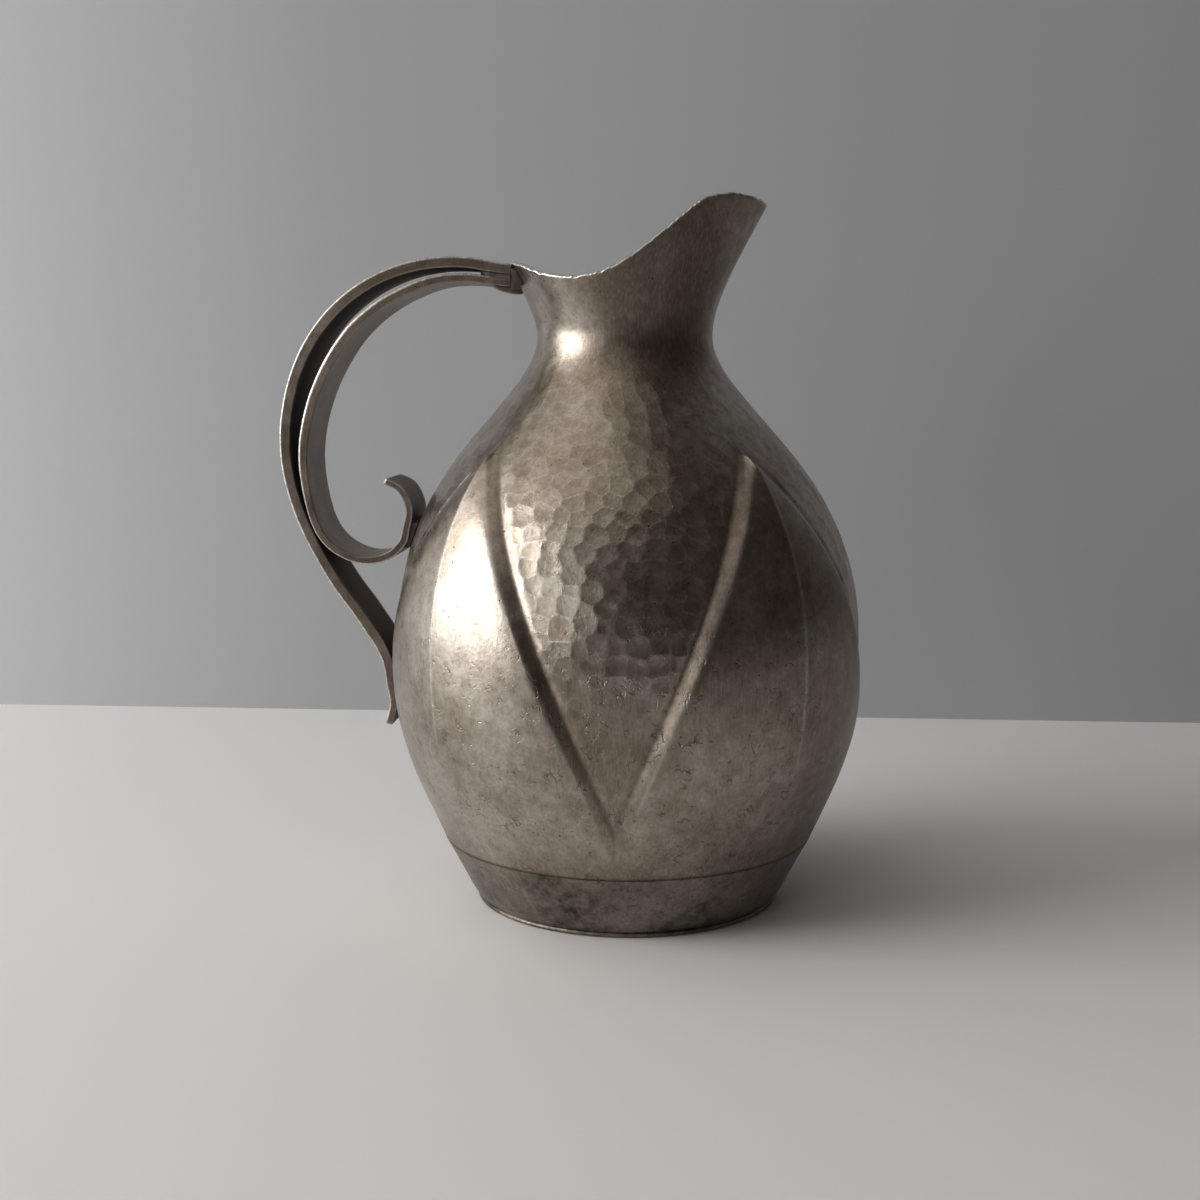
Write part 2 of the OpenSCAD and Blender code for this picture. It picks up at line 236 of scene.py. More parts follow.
def from_spout(angle):
    turn = (angle + 720) % 360
    return np.minimum(turn, 360 - turn)


def rim_z(a):
    """The rim's height at an angle from the spout, on a smooth curve through the rim's shares."""
    last = len(RIM_SHARES) - 1
    place = a / (180 / last)
    i = np.minimum(last - 1, np.floor(place).astype(int))
    start, end = RIM_SHARES[i], RIM_SHARES[i + 1]
    before = RIM_SHARES[np.abs(i - 1)]
    after = RIM_SHARES[np.minimum(i + 2, 2 * last - 2 - i)]
    share = curve(start, end, (end - before) / 2, (after - start) / 2, place - i)
    return RIM_LOW_Z + (SPOUT_Z - RIM_LOW_Z) * share


def rim_radius(a):
    side = mix(RIM_W / 2, RIM_BACK - NECK_SHIFT, ramp(a, 90, 90))
    return mix(side, SPOUT_REACH + NECK_SHIFT, np.exp(-((a / (90 * LIP_SHARE)) ** 2)))


def neck_radius(a, z):
    rise = np.maximum(0, (z - NECK_Z) / (rim_z(a) - NECK_Z))
    c = mix(FLARE_SPOUT_SHARE, FLARE_BACK_SHARE, a / 180)
    flare = (np.sqrt(c * c + rise * rise) - c) / (np.sqrt(c * c + 1) - c)
    return mix(NECK_D / 2, rim_radius(a), flare)


# Fine form of the body, which only the scene has

# The petals' edges, the groove and the low swell beside them, and the crease at each petal's foot
STEP_HALF = 1.5
STEP_TOP_R = 1.1
STEP_FOOT_R = 1.2
KEEL_POWER = 1.15
GROOVE_OFF = 2.5
GROOVE_W = 1.15
GROOVE_DEPTH = 0.36
SWELL_OFF = 5
SWELL_W = 1.6
SWELL_HEIGHT = 0.12
CREASE_DEPTH = 0.4
CREASE_W = 0.8
CREASE_Z = 28
CREASE_H = 2.6

# Old knocks: their depth, and the two sizes of the waves that they leave
DENT_DEPTH = 0.16
WIDE_DENT = (0.1, 19)
SMALL_DENT = (0.05, 8)

# The hammer's blows, in rows up the profile
BLOW_ROW = 5.0
BLOW_WIDTH = 5.7
BLOW_DEPTH = 0.15
BLOW_DEPTH_SPREAD = 0.03
BLOW_R = 33.0
BLOW_LEAN = 0.022
BLOWS_LEAST = 12
BLOW_SEED = 5
ROW_JITTER = 0.25
UP_JITTER = 1.1
ROUND_JITTER = 0.21
RIDGE_DEPTH = 0.012
TALL_BLOWS_Z = 138
TALL_BLOWS_H = 22
UNEVEN_DEPTH = 0.03

# How bright the metal is where it is rubbed and where a highlight is painted, and how dark the painted
# shade is in grooves, the seam and inside
RIDGE_WEAR_AND_SHEEN = 0.9
PETAL_EDGE_WEAR_AND_SHEEN = 0.3
KEEL_WEAR_AND_SHEEN = 0.5
GROOVE_SHADE = 0.45
SEAM_SHADE = 1.1
INSIDE_SHADE = 0.45

# Tones of the patina: above 0 is lighter and smoother, below 0 is darker and duller
# Painted light on the left front petal and painted shade on the right front petal
PETAL_TONES_AND_LIGHT = (0.8, 1.2, 1.5, -0.6)
FIELD_TONE = 1.1
NECK_TONE = 1.5
# Painted shade over the near side of the neck under the spout
NECK_FRONT_SHADE_TONE = -3.0
LOW_FIELD_DULL = 1.5
SEAM_DULL = 2.5

# The raw edge of the rim
RIM_NICK = 0.4
RIM_WAVE = 0.2
RIM_WALL_SHARE = 0.75
RIM_LIP = ((0.12, 0.17), (0.5, 0.28), (0.88, 0.17))


def past_edge(v, z):
    """Millimetres from a petal's edge, along the sheet and towards the petal."""
    return np.radians(v - field_half(z)) * base_radius(z)


def petal_relief(v, z):
    """How far the sheet stands out at an angle from a field's middle and a height."""
    past = past_edge(v, z)
    foot = np.sqrt((past + STEP_HALF) ** 2 + STEP_FOOT_R**2)
    top = np.sqrt((past - STEP_HALF) ** 2 + STEP_TOP_R**2)
    step = 0.5 + (foot - top) / (4 * STEP_HALF)
    half = SECTOR - np.maximum(0, field_half(z))
    keel = np.where(half > 0.2, np.clip(1 - (SECTOR - v) / np.maximum(half, 0.2), 0, 1), 0)
    fade = ramp(z, SEAM_Z, (PETAL_TIP_Z - SEAM_Z) * FADE_SHARE)
    groove_fade = ramp(z, 23, 16) * (1 - ramp(z, 126, 11))
    groove = bump(past + GROOVE_OFF, GROOVE_W) * GROOVE_DEPTH
    swell = bump(past + SWELL_OFF, SWELL_W) * SWELL_HEIGHT
    crease = CREASE_DEPTH * bump(np.radians(v) * base_radius(z), CREASE_W) * bump(z - CREASE_Z, CREASE_H)
    petal = PETAL_RISE * step + KEEL_RISE * keel**KEEL_POWER
    return fade * petal - groove_fade * (groove - swell) - crease


def along_profile(z):
    """Length of the body's profile from the seam up to each height."""
    table = np.linspace(SEAM_Z, NECK_Z, PROFILE_STEPS)
    steps = np.hypot(np.diff(table), np.diff(base_radius(table)))
    return np.interp(z, table, np.concatenate([[0], np.cumsum(steps)]))


def even_heights(rows):
    """Heights from the seam to the neck that lie evenly along the profile."""
    table = np.linspace(SEAM_Z, NECK_Z, PROFILE_STEPS)
    length = along_profile(table)
    return np.interp(np.linspace(0, length[-1], rows), length, table)


def hammer_marks(angle, z):
    """How deep the blows push the sheet in at each place, how near a ridge is, and the mark's tone."""
    rng = np.random.default_rng(BLOW_SEED)
    length = along_profile(z)
    high = ramp(z, TALL_BLOWS_Z, TALL_BLOWS_H)
    stretch = 1 + 0.9 * high
    squeeze = 1 - 0.25 * high
    rows = int(along_profile(np.array(NECK_Z)) / BLOW_ROW) + 4
    table = np.linspace(SEAM_Z, NECK_Z, BLOW_TABLE_STEPS)
    row_z = np.interp(np.arange(rows) * BLOW_ROW, along_profile(table), table)
    counts = np.maximum(BLOWS_LEAST, np.round(2 * np.pi * base_radius(row_z) / BLOW_WIDTH)).astype(int)
    shape = (rows, counts.max())
    phase = np.arange(rows) % 2 * 0.5 + rng.uniform(-ROW_JITTER, ROW_JITTER, rows)
    jitter_up = rng.uniform(-UP_JITTER, UP_JITTER, shape)
    jitter_round = rng.uniform(-ROUND_JITTER, ROUND_JITTER, shape)
    depth = rng.normal(BLOW_DEPTH, BLOW_DEPTH_SPREAD, shape)
    tone = rng.uniform(-1, 1, shape)
    lean_up, lean_round = rng.normal(0, BLOW_LEAN, (2, *shape))
    best = np.full(angle.shape, -9.0)
    second = np.full(angle.shape, -9.0)
    shade = np.zeros(angle.shape)
    for row_step in (-1, 0, 1, 2):
        row = np.clip(np.floor(length / BLOW_ROW).astype(int) + row_step, 0, rows - 1)
        n = counts[row]
        place = angle / 360 * n - phase[row]
        for step in (-1, 0, 1, 2):
            i = np.floor(place).astype(int) + step
            k = i % n
            up = (length - row * BLOW_ROW - jitter_up[row, k]) / stretch
            turn = (place - i - jitter_round[row, k]) / n * 2 * np.pi * base_radius(z) / squeeze
            press = depth[row, k] - (up**2 + turn**2) / (2 * BLOW_R)
            press += lean_up[row, k] * up + lean_round[row, k] * turn
            higher = press > best
            second = np.where(higher, best, np.maximum(second, press))
            shade = np.where(higher, tone[row, k], shade)
            best = np.maximum(best, press)
    ridge = np.exp(-(best - second) / RIDGE_DEPTH)
    return np.maximum(best, 0), ridge, shade


# Meshes


def make_piece(name, points, faces, nodes, slot, material, sharp=0, **attributes):
    """A piece from points in millimetres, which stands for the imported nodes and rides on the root."""
    mesh = bpy.data.meshes.new(name)
    mesh.from_pydata(np.asarray(points).reshape(-1, 3) * MM, [], faces)
    mesh.validate()
    mesh.shade_smooth()
    if sharp:
        mesh.set_sharp_from_angle(angle=math.radians(sharp))
    for key, values in attributes.items():
        mesh.attributes.new(key, "FLOAT", "POINT").data.foreach_set("value", np.ravel(values))
    mesh.materials.append(material)
    piece = bpy.data.objects.new(name, mesh)
    bpy.context.scene.collection.objects.link(piece)
    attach(piece, "root")
    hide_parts(*nodes)


def grid_faces(rows, columns, rows_close=True):
    """Quads of a grid whose columns run round, and whose rows too if they close."""
    row = np.arange(rows if rows_close else rows - 1)[:, None]
    column = np.arange(columns)[None, :]
    after = (row + 1) % rows
    beside = (column + 1) % columns
    low, high = row * columns, after * columns
    corners = [low + column, low + beside, high + beside, high + column]
    return np.stack(np.broadcast_arrays(*corners), axis=-1).reshape(-1, 4).tolist()


def bar_faces(rows, columns):
    """Faces of a bar: its sides, and one over each end."""
    faces = grid_faces(rows, columns, False)
    faces.append(list(range(columns))[::-1])
    faces.append([(rows - 1) * columns + k for k in range(columns)])
    return faces


def turned(radius, angle, x, z):
    """Points at a radius and an angle round an upright line at x."""
    around = np.radians(angle)
    parts = np.broadcast_arrays(x + radius * np.cos(around), radius * np.sin(around), z)
    return np.stack(parts, axis=-1)


def dents(points, calm):
    """How far old knocks push the sheet in at each place, in waves of two sizes."""
    wide = WIDE_DENT[0] * smooth_noise(points, WIDE_DENT[1], 1)
    small = SMALL_DENT[0] * smooth_noise(points, SMALL_DENT[1], 2)
    return DENT_DEPTH - calm * (wide + small)


def press_in(points, angle, slant, sink):
    """Points moved inwards, square to a sheet whose radius grows by slant for each step up."""
    tilt = np.sqrt(1 + slant * slant)
    points[..., 0] -= sink / tilt * np.cos(np.radians(angle))
    points[..., 1] -= sink / tilt * np.sin(np.radians(angle))
    points[..., 2] += sink / tilt * slant
    return points


def petal_tone_and_light(angle, v):
    """Each petal's tone, with painted light on the left front petal and painted shade on the right front
    one, blended with its neighbour's where the two petals meet.
    """
    tones = np.array(PETAL_TONES_AND_LIGHT)
    meeting = np.round(angle / (2 * SECTOR)).astype(int) % PETALS
    between = (tones[meeting - 1] + tones[meeting]) / 2
    own = tones[np.floor(angle / (2 * SECTOR)).astype(int) % PETALS]
    return mix(between, own, ease(v / 14))


def neck_tone_and_shade(angle):
    """The neck is rubbed bright, with painted shade over the near side under the spout."""
    front_shade = ramp(angle, 235, 30) * (1 - ramp(angle, 320, 30))
    return mix(NECK_TONE, NECK_FRONT_SHADE_TONE, front_shade)


def body_wear_and_sheen(v, z, ridges):
    """Where the sheet is rubbed bright, partly real and partly a painted highlight: the ridges between
    marks, the petals' edges and their keels.
    """
    edge = bump(past_edge(v, z) - STEP_HALF, 0.55) * ramp(z, 32, 20)
    keel = bump(np.radians(SECTOR - v) * base_radius(z), 0.5)
    keel = keel * ramp(z, 45, 30) * (1 - ramp(z, 120, 12))
    return np.clip(RIDGE_WEAR_AND_SHEEN * ridges + PETAL_EDGE_WEAR_AND_SHEEN * edge + KEEL_WEAR_AND_SHEEN * keel, 0, 1)


def body_painted_shade(v, z):
    """Painted shade in the grooves along the petals and in the seam above the foot."""
    groove = bump(past_edge(v, z) + 1.9, 1.0) * ramp(z, 24, 8)
    seam = bump(z - SEAM_Z, 0.7)
    return np.clip(GROOVE_SHADE * groove + SEAM_SHADE * seam, 0, 1)


def body_tone_and_light(angle, v, z, marks_tone, field):
    """The tones of the marks, the petals and the neck, duller low down between and under the petals,
    with painted light and shade on the front petals and painted shade on the neck's near side.
    """
    petal = ramp(past_edge(v, z), 0.5, 2)
    tone = (marks_tone + FIELD_TONE) * field + petal_tone_and_light(angle, v) * petal
    tone -= LOW_FIELD_DULL * (1 - petal) * (1 - ramp(z, 60, 30)) * ramp(z, 24, 10)
    tone -= SEAM_DULL * (1 - ramp(z, SEAM_Z, 13))
    return tone + neck_tone_and_shade(angle) * ramp(z, 152, 14)


def body_calm(z):
    """How strongly the sheet is dented: not at the seam, and less on the neck."""
    return ramp(z, SEAM_Z, 6) * (1 - 0.5 * ramp(z, 150, 18))


def body_sheet(angle, z, depth):
    """Points of the body's smooth sheet below the neck, its slant, and how far to press it in."""
    slant = slope(z) * ramp(z, SEAM_Z, PETAL_FOOT_Z - SEAM_Z)
    points = turned(base_radius(z) + petal_relief(field_angle(angle), z), angle, middle_x(z), z)
    return points, slant, depth + dents(points, body_calm(z))


def inner_body(angle, z):
    """Points of the body's inner face below the neck."""
    points, slant, sink = body_sheet(angle, z, WALL)
    return press_in(points, angle, slant, sink)


def outer_body(angle, z):
    """Points of the body's hammered outer face below the neck, and how rubbed bright they are with
    painted highlights, their painted shade and their tone.
    """
    points, slant, sink = body_sheet(angle, z, 0)
    v = field_angle(angle)
    marks, ridge, marks_tone = hammer_marks(angle, z)
    upper = (1 - 0.45 * ramp(z, 118, 25)) * (1 - ramp(z, 150, 20))
    field = ease((-past_edge(v, z) - 2.2) / 2.2) * upper * mix(0.12, 1, ramp(z, 66, 22))
    uneven = UNEVEN_DEPTH * smooth_noise(points * [1, 1, 0.5], 4.5, 3) * body_calm(z)
    points = press_in(points, angle, slant, sink + marks * field + (1 - field) * uneven)
    wear = body_wear_and_sheen(v, z, ridge * field * upper)
    return points, wear, body_painted_shade(v, z), body_tone_and_light(angle, v, z, marks_tone, field)


def neck_sheet(angle, share, depth):
    """Points of the neck at a share of the way up to the rim, at a depth under its outer face."""
    a = from_spout(angle)
    ring = turned(30, angle, 0, a * 0)
    nicks = RIM_NICK * np.abs(smooth_noise(ring, 0.9, 7))
    top = rim_z(a) - nicks - RIM_WAVE * np.abs(smooth_noise(ring, 4, 8))
    z = mix(NECK_Z, top, share)
    slant = neck_radius(a, z + 0.5) - neck_radius(a, z - 0.5)
    points = turned(neck_radius(a, z), angle, -NECK_SHIFT, z)
    return press_in(points, angle, slant, depth + dents(points, 0.5))


def make_body(material):
    """The raised sheet as one closed skin: outer face, rim, inner face and lower edge."""
    around = np.arange(COLUMNS) * 360 / COLUMNS
    angle, z = np.meshgrid(around, even_heights(BODY_ROWS))
    outside, wear, grime, tone = outer_body(angle, z)
    angle_up, share = np.meshgrid(around, np.linspace(0, 1, NECK_ROWS)[1:])
    neck = neck_sheet(angle_up, share, 0)
    share_in = share[::-3]
    neck_in = neck_sheet(angle_up[::3], share_in, WALL * mix(1, RIM_WALL_SHARE, share_in))
    lip = np.array([mix(neck[-1], neck_in[0], k) + [0, 0, rise] for k, rise in RIM_LIP])
    angle_in, z_in = np.meshgrid(around, even_heights(INSIDE_ROWS)[::-1])
    points = np.concatenate([outside, neck, lip, neck_in, inner_body(angle_in, z_in)])
    wear_and_sheen_all, painted_shade_all, tone_all = np.zeros((3, len(points), COLUMNS))
    below = len(outside)
    top = below + len(neck)
    over = top + len(lip)
    wear_and_sheen_all[:below], painted_shade_all[:below], tone_all[:below] = wear, grime, tone
    tone_all[below:top] = neck_tone_and_shade(angle_up)
    wear_and_sheen_all[top - 1 : over + 1] = 1
    # Painted shade over the inner face of the neck and the body
    painted_shade_all[over + 1 :] = INSIDE_SHADE
    make_piece(
        "body", points, grid_faces(len(points), COLUMNS), ["body_shell"], "hammered_pewter", material,
        wear=wear_and_sheen_all, grime=painted_shade_all, tone=tone_all,
    )


def revolve(name, profile, material, rough, seed):
    """A closed turned piece of the foot, from a closed profile of radius and height, a little uneven."""
    around = np.arange(COLUMNS) * 360 / COLUMNS
    angle, radius = np.meshgrid(around, profile[:, 0])
    z = np.broadcast_to(profile[:, 1:2], angle.shape)
    points = turned(radius, angle, 0, z)
    waves = smooth_noise(points, 6, seed) + 0.6 * smooth_noise(points, 2.2, seed + 1)
    off = np.where(radius < FOOT_D / 2 - 2 * FOOT_WALL, 0, rough * (waves - 1.6))
    points[..., :2] += off[..., None] * points[..., :2] / np.maximum(radius, 1)[..., None]
    blank = np.zeros(angle.shape)
    make_piece(
        name, points, grid_faces(len(profile), COLUMNS), [name], "foot_pewter", material, SHARP_ANGLE,
        wear=blank, grime=blank, tone=blank,
    )


def foot_radius(z):
    """Radius of the foot band's outer face, before its hollow and its turned-in edge."""
    return mix(FOOT_D / 2, SEAM_D / 2, (z - BASE_T) / (SEAM_Z - BASE_T))


def make_foot_band(material):
    heights = np.linspace(BASE_T + JOINT_GAP, SEAM_Z - 2 * JOINT_GAP, 34)
    hollow = FOOT_HOLLOW * np.sin(np.pi * (heights - BASE_T) / (SEAM_Z - BASE_T))
    turn_in = FOOT_TURN_IN * np.maximum(0, 1 - (heights - BASE_T) / FOOT_TURN_H) ** 2
    outer = np.stack([foot_radius(heights) - hollow - turn_in, heights], axis=-1)
    top = SEAM_Z - JOINT_GAP
    lip = [[foot_radius(top), top], [foot_radius(top) - FOOT_WALL, top]]
    inner = np.stack([foot_radius(heights[::-4]) - FOOT_WALL, heights[::-4]], axis=-1)
    revolve("foot_band", np.concatenate([outer, lip, inner]), material, 0.06, 21)


def make_base_plate(material):
    """A disc with a rounded edge, which follows the foot band's turned-in edge."""
    edge = FOOT_D / 2 - FOOT_TURN_IN + LIP_LEFT * BASE_LIP
    under = [[0.5, 0], [20, 0], [edge - 4, 0]]
    side = [[edge - 0.9, 0.05], [edge - 0.2, 0.35], [edge, 0.8], [edge - 0.15, 1.25]]
    over = [[edge - 0.5, BASE_T], [edge - 4, BASE_T], [20, BASE_T], [0.5, BASE_T]]
    revolve("base_plate", np.array(under + side + over), material, 0.05, 31)


# Straps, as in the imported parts: middle lines in x and z


def smooth_line(knots, steps):
    """The curve through the knots, with this many steps from each to the next."""
    knots = np.asarray(knots, dtype=float)
    ways = np.gradient(knots, axis=0)
    ways /= np.linalg.norm(ways, axis=1)[:, None]
    points = []
    for i in range(len(knots) - 1):
        length = np.linalg.norm(knots[i + 1] - knots[i])
        for s in np.arange(steps) / steps:
            points.append(curve(knots[i], knots[i + 1], ways[i] * length, ways[i + 1] * length, s))
    points.append(knots[-1])
    return np.array(points)


def sideways(line):
    """Unit vectors across a line in x and z, on its left."""
    way = np.gradient(line, axis=0)
    way /= np.linalg.norm(way, axis=1)[:, None]
    return np.stack([-way[:, 1], way[:, 0]], axis=-1)


def off_body(z, depth):
    """The place in x and z at a distance from the body's handle side at this height."""
    slant = slope(z)
    tilt = np.sqrt(1 + slant * slant)
    return np.array([-base_radius(z) - depth / tilt, z - slant * depth / tilt])


def outer_knots():
    """Knots of the outer strap's middle line: its end, its back, its low part and its tail."""
    end = [-NECK_D / 2, RIM_BACK_Z - STRAP_DROP - OUTER_T / 2]
    high = [[-REACH * r, HANDLE_TOP_Z * h] for r, h in zip(OUTER_REACH_SHARES, OUTER_HEIGHT_SHARES)]
    low_top = HANDLE_TOP_Z * OUTER_HEIGHT_SHARES[-1]
    low = []
    for rise, off in zip(OUTER_LOW_RISE_SHARES, OUTER_LOW_OFF_SHARES):
        z = mix(TAIL_Z, low_top, rise)
        low.append([-base_radius(z) - mix(OUTER_T / 2 + SOLDER_T, HANDLE_OUT, off), z])
    rest = off_body(TAIL_Z, OUTER_T / 2 + SOLDER_T + 2 * JOINT_GAP)
    tail = [rest - np.array([o, d]) * TAIL_L for o, d in zip(TAIL_OUT_SHARES, TAIL_DOWN_SHARES)]
    return [end, *high, *low, rest, *tail]


def inner_knots():
    """Knots of the inner strap's middle line: along the outer strap, then round the scroll."""
    coarse = smooth_line(outer_knots(), CURVE_STEPS)
    across = sideways(coarse)
    knots = []
    for knot, share in enumerate(INNER_GAP_SHARES):
        i = knot * CURVE_STEPS
        apart = OUTER_T / 2 + mix(STACK_T, STRAP_GAP, share) + INNER_T / 2
        knots.append(coarse[i] + across[i] * apart)
    rest = off_body(SCROLL_Z, INNER_T / 2 + SOLDER_T + 2 * JOINT_GAP)
    for back, up in zip(SCROLL_BACK_SHARES, SCROLL_UP_SHARES):
        knots.append(rest + np.array([-back, up]) * SCROLL_R)
    return knots


def strap_section(half_w, heights, corners):
    """Points round a flat bar's section: across its width, and towards the hand or away from it."""
    points = []
    for side, height, corner in zip((1, -1), heights, corners):
        turn = np.linspace(0, np.pi / 2, CORNER_POINTS)
        start = [[half_w, height - corner - EDGE_WEAR_W]]
        in_w, in_t = half_w - corner, height - corner
        start += [[in_w + corner * np.cos(t), in_t + corner * np.sin(t)] for t in turn]
        flat = [[w, height] for w in np.linspace(half_w - corner, corner - half_w, 13)[1:-1]]
        end = [[-w, t] for w, t in start[::-1]]
        points += [[side * w, side * t] for w, t in start + flat + end]
    return np.array(points)


def settle(points):
    """Lower the straps' upper ends a little, towards the rim that they meet."""
    points[..., 2] -= SETTLE * (1 - ramp(-points[..., 0], CUT_R, SETTLE_L))
    return points


def cut_line(knots):
    """A strap's middle line from the neck on, and how many steps of the whole line lie before it."""
    line = smooth_line(knots, STRAP_STEPS)
    cut_x = -NECK_SHIFT - CUT_R
    first = int(np.argmax(line[:, 0] < cut_x))
    part = (cut_x - line[first, 0]) / (line[first - 1, 0] - line[first, 0])
    return np.concatenate([[mix(line[first], line[first - 1], part)], line[first:]]), first


def hammer_bar(points, section, across, seed):
    """Move a bar's broad faces and its edges a little in and out."""
    deep = np.abs(section[:, 1])
    side = np.where(section[:, 1] > 0, 1, -1) * (deep > 0.7 * deep.max())
    push = 0.035 * smooth_noise(points, 5.5, seed) + 0.02 * smooth_noise(points, 2.4, seed + 1) - 0.04
    points[..., 0] += push * across[:, 0:1] * side
    points[..., 2] += push * across[:, 1:2] * side
    points[..., 1] += 0.05 * smooth_noise(points * [1, 0.01, 1], 7, seed + 2) * np.sign(points[..., 1])
    return points


def strap_wear_sheen_and_shade(count, length, left, hand_shade):
    """Rubbed corners, painted highlight and painted shade of a strap whose sections have count points:
    the corners away from the hand bright, partly real and partly painted highlight, and painted shade at
    the ends and on the face towards the hand where asked.
    """
    half_count = count // 2
    step = np.arange(count) % half_count
    hand_side = np.arange(count) < half_count
    corner_side = np.minimum(step, half_count - 1 - step)
    outer_corner = ~hand_side & (corner_side > 0) & (corner_side <= CORNER_POINTS)
    hand_corner = hand_side & (corner_side > 0) & (corner_side <= HAND_CORNER_POINTS)
    hand_face = hand_side & (corner_side > CORNER_POINTS)
    end_wear = 1 - ease(left / 1.2)
    end_shade = NECK_END_SHADE * (1 - ease(length / 3)) + END_SHADE * (1 - ramp(left, 12, 20))
    wear = np.maximum(outer_corner * 1.0 + hand_corner * HAND_EDGE_WEAR, end_wear[:, None])
    return wear, np.maximum(end_shade[:, None], hand_face * hand_shade)


def make_strap(name, knots, thick, thin_end, corners, bulge, hand_shade, material, seed):
    """A hammered bar along its middle line, from the neck to its free end."""
    line, first = cut_line(knots)
    across = sideways(line)
    length = np.concatenate([[0], np.cumsum(np.linalg.norm(np.diff(line, axis=0), axis=1))])
    left = length[-1] - length
    round_end = np.sqrt(np.clip(left / END_ROUND, 0, 1))
    half_t = thick / 2 * mix(thin_end, 1, ease(left / TAPER_L)) * mix(0.5, 1, round_end)
    more = np.interp((first + np.arange(len(line))) / STRAP_STEPS, np.arange(len(bulge)), bulge)
    rings = []
    for k in range(len(line)):
        half_w = STRAP_W / 2 - SIDE_GAP - END_ROUND * (1 - round_end[k])
        corner = np.array((corners[0], corners[1] + CORNER_GROWTH * more[k])) * half_t[k] / (thick / 2)
        section = strap_section(half_w, (half_t[k], half_t[k] + more[k]), corner)
        x = line[k, 0] + across[k, 0] * section[:, 1]
        z = line[k, 1] + across[k, 1] * section[:, 1]
        y = -section[:, 0]
        shift = (CUT_R - np.sqrt(CUT_R**2 - y**2)) * (1 - ease(length[k] / CUT_L))
        rings.append(np.stack([x + shift, y, z], axis=-1))
    points = hammer_bar(settle(np.array(rings)), section, across, seed)
    wear, grime = strap_wear_sheen_and_shade(len(section), length, left, hand_shade)
    faces = bar_faces(len(points), len(section))
    make_piece(
        name, points, faces, [name], "strap_pewter", material, SHARP_ANGLE,
        wear=wear, grime=grime, tone=np.zeros(wear.shape),
    )


def make_run(name, sections, material, rough, seed, dark=()):
    """A run of solder: closed sections along y, a little lumpy, with painted shade on some points of
    each.
    """
    points = np.array(sections)
    middle = points.mean(axis=1, keepdims=True)
    lumps = rough * (smooth_noise(points, 2.6, seed) + 0.5 * smooth_noise(points, 1.1, seed + 1))
    way = points - middle
    way[..., 1] = 0
    points += lumps[..., None] * way / np.maximum(np.linalg.norm(way, axis=-1, keepdims=True), 0.2)
    blank = np.zeros(points.shape[:-1])
    grime = blank + SOLDER_GRIME
    grime[:, list(dark)] = 1
    make_piece(
        name, points, bar_faces(*points.shape[:2]), [name], "solder", material, SHARP_ANGLE,
        wear=blank, grime=grime, tone=blank,
    )


def neck_face_x(y, z):
    """Where the neck's handle side lies at this distance from the middle plane and this height."""
    a = 180 - np.degrees(np.abs(np.arcsin(y / (RIM_W / 2))))
    return -NECK_SHIFT - np.sqrt(neck_radius(np.array(a), z) ** 2 - y * y)


def body_face_x(y, z):
    """Where the body's handle side lies at this distance from the middle plane and this height."""
    v = np.degrees(np.abs(np.arcsin(y / base_radius(z))))
    return middle_x(z) - np.sqrt((base_radius(z) + petal_relief(v, z)) ** 2 - y * y)


def cut_face_x(y):
    """Where the straps' upper ends lie, cut to the neck's round."""
    return -NECK_SHIFT - np.sqrt(CUT_R**2 - y * y)


def make_rim_solder(material):
    """The solder between the neck and the straps' ends, with a bead under the inner strap."""
    end_z = outer_knots()[0][1]
    inner = smooth_line(inner_knots(), STRAP_STEPS)
    under = (inner + sideways(inner) * (INNER_T / 2 + JOINT_GAP))[:STRAP_STEPS]
    sections = []
    for y in np.linspace(-0.497, 0.497, RUN_STEPS) * STRAP_W:
        cut_x = cut_face_x(y)
        low = np.interp(-cut_x, -under[:, 0], under[:, 1])
        heights = np.linspace(low + 0.7, end_z + OUTER_T * 0.42, 9)
        near = [[neck_face_x(y, z - SETTLE) - NEAR_GAP, y, z] for z in heights[::-1]]
        bead = [[cut_x + out, y, low - down] for out, down in RIM_BEAD]
        back_x = np.linspace(cut_x - 4.6, cut_x + END_GAP, 6)
        back = [[x, y, np.interp(-x, -under[:, 0], under[:, 1])] for x in back_x]
        far = [[cut_x + END_GAP, y, z] for z in heights]
        sections.append(near + bead + back + far)
    # Painted shade on the points that lie against the neck
    make_run("rim_solder", settle(np.array(sections)), material, 0.07, 41, dark=range(11))


def make_strap_solder(material):
    """The solder between the straps' upper ends, which fills the slit near the neck."""
    outer = smooth_line(outer_knots(), CURVE_STEPS)
    inner = smooth_line(inner_knots(), CURVE_STEPS)
    lower = outer + sideways(outer) * (OUTER_T / 2 + JOINT_GAP)
    upper = inner - sideways(inner) * (INNER_T / 2 + JOINT_GAP)
    sections = []
    for y in np.linspace(-0.5, 0.5, RUN_STEPS) * STRAP_W:
        from_side = STRAP_W / 2 - abs(y)
        seen = mix(STACK_SEEN_L, STACK_DEEP_L, ease(from_side / 3))
        along = np.linspace(0, 1, 12)
        reach_x = cut_face_x(y) - STACK_GAP - seen * along
        outside = SMEAR * (1 - ease(from_side / 0.25))
        smear = outside * (1 - ease(along))
        top_z = np.interp(-reach_x, -lower[:20, 0], lower[:20, 1]) + smear
        low_z = np.interp(-reach_x, -upper[:20, 0], upper[:20, 1]) - smear
        across = np.sign(y) * outside
        top = [[x, y + across, z] for x, z in zip(reach_x, top_z)]
        low = [[x, y + across, z] for x, z in zip(reach_x[::-1], low_z[::-1])]
        sections.append(top + low)
    # Painted shade on the points deep in the slit between the straps
    make_run("strap_solder", settle(np.array(sections)), material, 0.02, 51, dark=range(6, 18))


